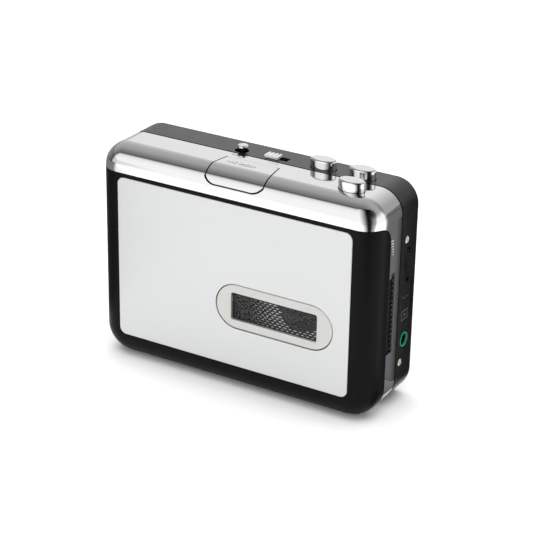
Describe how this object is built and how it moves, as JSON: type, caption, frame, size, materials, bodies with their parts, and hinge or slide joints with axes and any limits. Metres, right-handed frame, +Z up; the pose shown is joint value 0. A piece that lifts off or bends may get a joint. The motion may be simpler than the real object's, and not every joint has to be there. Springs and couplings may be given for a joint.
{
  "type": "portable cassette player",
  "caption": "Pocket cassette player on its long edge: black lid with silver panel and oval window, chrome top band with keys, matte black back.",
  "frame": {"origin": "on the long bottom edge the player stands on, at mid width and mid depth of the case", "axes": "+X along the width to the right seen from the lid, +Y from the lid to the back, +Z up to the keys"},
  "size_m": [0.1155, 0.032, 0.0861],
  "materials": {
    "chrome": "bright mirror plating",
    "matte_black": "fine matte charcoal grain",
    "satin_black": "satin black",
    "silver_panel": "smooth silver white",
    "bezel_grey": "pale warm grey",
    "smoked_lens": "clear smoked",
    "inner_black": "moulded black",
    "bright_foil": "embossed bright",
    "zinc_steel": "zinc plated sheet",
    "polished_steel": "ground shaft",
    "brass": "turned",
    "rubber": "ground rubber",
    "white_nylon": "natural nylon",
    "circuit_board": "green laminate",
    "chip_black": "moulded packages",
    "green_ring": "clear green",
    "silver_plastic": "silver painted",
    "cell_wrap": "plain grey sleeve",
    "spring_steel": "drawn wire"
  },
  "bodies": {
    "case": {"hinge_pins": "polished_steel", "mid_frame": "chrome", "grip_pad": "inner_black", "rear_cover": "matte_black", "well_floor": "inner_black", "well_trim": "bright_foil", "chassis": "zinc_steel", "drive_posts": "polished_steel", "capstan_bearings": "brass", "flywheel_bracket": "zinc_steel", "motor": "zinc_steel", "drive_belt": "rubber", "stop_spring": "spring_steel", "forward_spring": "spring_steel", "rewind_spring": "spring_steel", "key_guide": "inner_black", "switch_board": "circuit_board", "direction_switch": "inner_black", "mode_switch": "inner_black", "volume_board": "circuit_board", "volume_pot": "chip_black", "main_board": "circuit_board", "board_components": "chip_black", "headphone_jack": "inner_black", "jack_ring": "green_ring", "usb_socket": "zinc_steel", "battery_cells": "cell_wrap", "battery_contacts": "spring_steel", "side_screws": "brass", "chassis_screws": "zinc_steel", "floor_screws": "zinc_steel", "board_screws": "zinc_steel"},
    "door": {"cassette_door": "satin_black", "door_panel": "silver_panel", "window_bezel": "bezel_grey", "window_lens": "smoked_lens", "cassette_springs": "spring_steel"},
    "play": {"play_key": "chrome"},
    "stop": {"stop_key": "chrome"},
    "forward": {"forward_key": "chrome"},
    "rewind": {"rewind_key": "chrome"},
    "direction": {"direction_knob": "chrome"},
    "mode": {"mode_slider": "silver_plastic"},
    "volume": {"volume_wheel": "inner_black"},
    "back_hatch": {"battery_cover": "matte_black"},
    "rotor": {"motor_pulley": "brass"},
    "fly_left": {"capstan_left": "polished_steel", "flywheel_left": "zinc_steel"},
    "fly_right": {"capstan_right": "polished_steel", "flywheel_right": "zinc_steel"},
    "idler_left": {"idler_gear_left": "white_nylon"},
    "idler_right": {"idler_gear_right": "white_nylon"},
    "reel_left": {"spindle_left": "inner_black"},
    "reel_right": {"spindle_right": "inner_black"},
    "sled": {"head_sled": "zinc_steel", "tape_head": "polished_steel"},
    "arm_left": {"pinch_arm_left": "zinc_steel"},
    "arm_right": {"pinch_arm_right": "zinc_steel"},
    "roller_left": {"pinch_roller_left": "rubber"},
    "roller_right": {"pinch_roller_right": "rubber"}
  },
  "joints": [
    {"name": "door_hinge", "type": "hinge", "parent": "case", "child": "door", "pos_m": [0, -0.0086, 0.005], "axis": [1, 0, 0], "range_deg": [0, 50]},
    {"name": "play_press", "type": "hinge", "parent": "case", "child": "play", "pos_m": [0, -0.0015, 0.0825], "axis": [1, 0, 0], "range_deg": [0, 6], "stiffness_Nm_per_rad": 0.2, "springref_deg": -1.15},
    {"name": "stop_press", "type": "slide", "parent": "case", "child": "stop", "axis": [0, 0, -1], "range_m": [0, 0.002], "stiffness_N_per_m": 400, "springref_m": -0.0005, "deforming": ["stop_spring"]},
    {"name": "forward_press", "type": "slide", "parent": "case", "child": "forward", "axis": [0, 0, -1], "range_m": [0, 0.002], "stiffness_N_per_m": 400, "springref_m": -0.0005, "deforming": ["forward_spring"]},
    {"name": "rewind_press", "type": "slide", "parent": "case", "child": "rewind", "axis": [0, 0, -1], "range_m": [0, 0.002], "stiffness_N_per_m": 400, "springref_m": -0.0005, "deforming": ["rewind_spring"]},
    {"name": "direction_press", "type": "slide", "parent": "case", "child": "direction", "axis": [0, 0, -1], "range_m": [0, 0.0012], "stiffness_N_per_m": 600, "springref_m": -0.0003},
    {"name": "mode_slide", "type": "slide", "parent": "case", "child": "mode", "axis": [1, 0, 0], "range_m": [0, 0.0034]},
    {"name": "volume_turn", "type": "hinge", "parent": "case", "child": "volume", "pos_m": [0.0506, 0.009, 0.05335], "axis": [0, 1, 0], "range_deg": [-135, 135]},
    {"name": "back_hatch_slide", "type": "slide", "parent": "case", "child": "back_hatch", "axis": [1, 0, 0], "range_m": [0, 0.006]},
    {"name": "flywheel_right_spin", "type": "hinge", "parent": "case", "child": "fly_right", "pos_m": [0.02125, 0, 0.0594], "axis": [0, 1, 0], "continuous": true},
    {"name": "flywheel_left_spin", "type": "hinge", "parent": "case", "child": "fly_left", "pos_m": [-0.02125, 0, 0.0594], "axis": [0, 1, 0], "continuous": true},
    {"name": "motor_spin", "type": "hinge", "parent": "case", "child": "rotor", "pos_m": [-0.042, 0, 0.0615], "axis": [0, 1, 0], "continuous": true},
    {"name": "idler_right_spin", "type": "hinge", "parent": "case", "child": "idler_right", "pos_m": [0.02125, 0, 0.0479], "axis": [0, 1, 0], "continuous": true},
    {"name": "idler_left_spin", "type": "hinge", "parent": "case", "child": "idler_left", "pos_m": [-0.02125, 0, 0.0479], "axis": [0, 1, 0], "continuous": true},
    {"name": "reel_right_spin", "type": "hinge", "parent": "case", "child": "reel_right", "pos_m": [0.02125, 0, 0.0314], "axis": [0, 1, 0], "continuous": true},
    {"name": "reel_left_spin", "type": "hinge", "parent": "case", "child": "reel_left", "pos_m": [-0.02125, 0, 0.0314], "axis": [0, 1, 0], "continuous": true},
    {"name": "head_slide", "type": "slide", "parent": "case", "child": "sled", "axis": [0, 0, -1], "range_m": [0, 0.0034], "stiffness_N_per_m": 300, "springref_m": -0.001},
    {"name": "arm_right_swing", "type": "hinge", "parent": "case", "child": "arm_right", "pos_m": [0.034, 0, 0.066], "axis": [0, -1, 0], "range_deg": [0, 24.2]},
    {"name": "arm_left_swing", "type": "hinge", "parent": "case", "child": "arm_left", "pos_m": [-0.034, 0, 0.066], "axis": [0, 1, 0], "range_deg": [0, 24.2]},
    {"name": "roller_right_spin", "type": "hinge", "parent": "arm_right", "child": "roller_right", "pos_m": [0.02125, 0, 0.0702], "axis": [0, 1, 0], "continuous": true},
    {"name": "roller_left_spin", "type": "hinge", "parent": "arm_left", "child": "roller_left", "pos_m": [-0.02125, 0, 0.0702], "axis": [0, 1, 0], "continuous": true}
  ],
  "couplings": [
    {"joint": "flywheel_left_spin", "follows": "flywheel_right_spin", "ratio": 1},
    {"joint": "motor_spin", "follows": "flywheel_right_spin", "ratio": 3.029},
    {"joint": "idler_right_spin", "follows": "flywheel_right_spin", "ratio": -0.35294},
    {"joint": "idler_left_spin", "follows": "flywheel_right_spin", "ratio": -0.35294},
    {"joint": "reel_right_spin", "follows": "flywheel_right_spin", "ratio": 0.375},
    {"joint": "reel_left_spin", "follows": "flywheel_right_spin", "ratio": 0.375},
    {"joint": "arm_right_swing", "follows": "head_slide", "rad_per_m": 123.2},
    {"joint": "arm_left_swing", "follows": "head_slide", "rad_per_m": 123.2}
  ]
}
